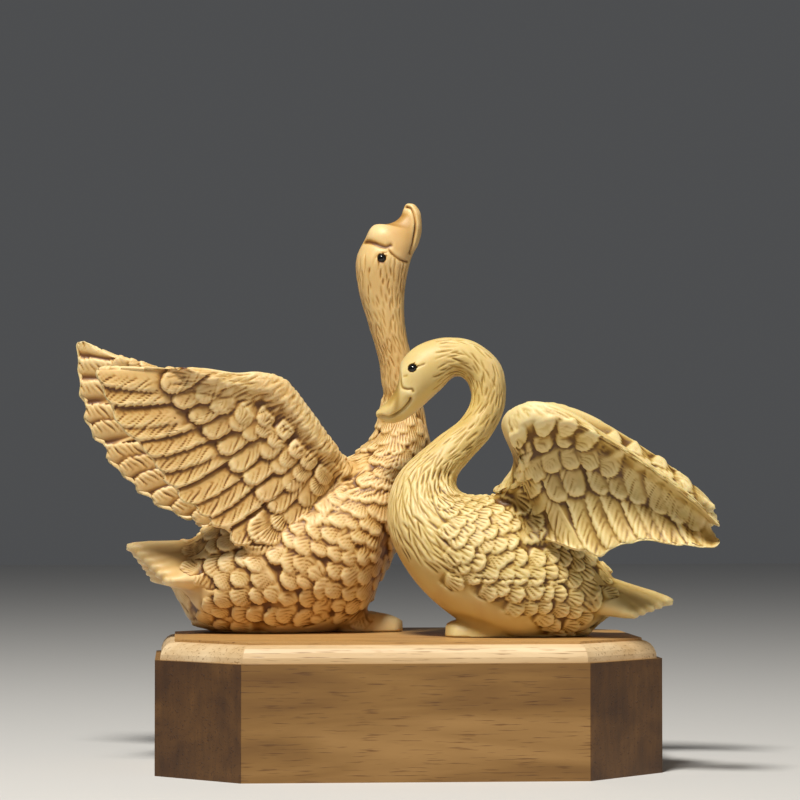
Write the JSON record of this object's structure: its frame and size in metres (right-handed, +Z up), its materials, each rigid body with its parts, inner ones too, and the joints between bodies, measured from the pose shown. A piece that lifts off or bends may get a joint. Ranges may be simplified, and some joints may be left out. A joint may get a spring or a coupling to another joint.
{
  "type": "pair of carved wooden swans on a plinth",
  "caption": "Two carved boxwood swans, one looking up with raised wings and one bowing its head, on a low wooden plinth with cut corners.",
  "frame": {"origin": "middle of the plinth's underside, on the table", "axes": "+Z up, +X along the plinth's length towards the bowed swan's tail, -Y towards the viewer"},
  "size_m": [0.2409, 0.1248, 0.2087],
  "materials": {
    "plinth_wood": "satin oiled hardwood with fine pores",
    "carved_wood_raised": "satin hand-polished boxwood, warm tone",
    "carved_wood_bowed": "satin hand-polished boxwood, yellow tone",
    "eye_bead": "glossy black bead"
  },
  "bodies": {
    "root": {"plinth": "plinth_wood", "swan_head_raised": "carved_wood_raised", "swan_head_bowed": "carved_wood_bowed", "eye_raised_near": "eye_bead", "eye_raised_far": "eye_bead", "eye_bowed_near": "eye_bead", "eye_bowed_far": "eye_bead"}
  },
  "joints": []
}
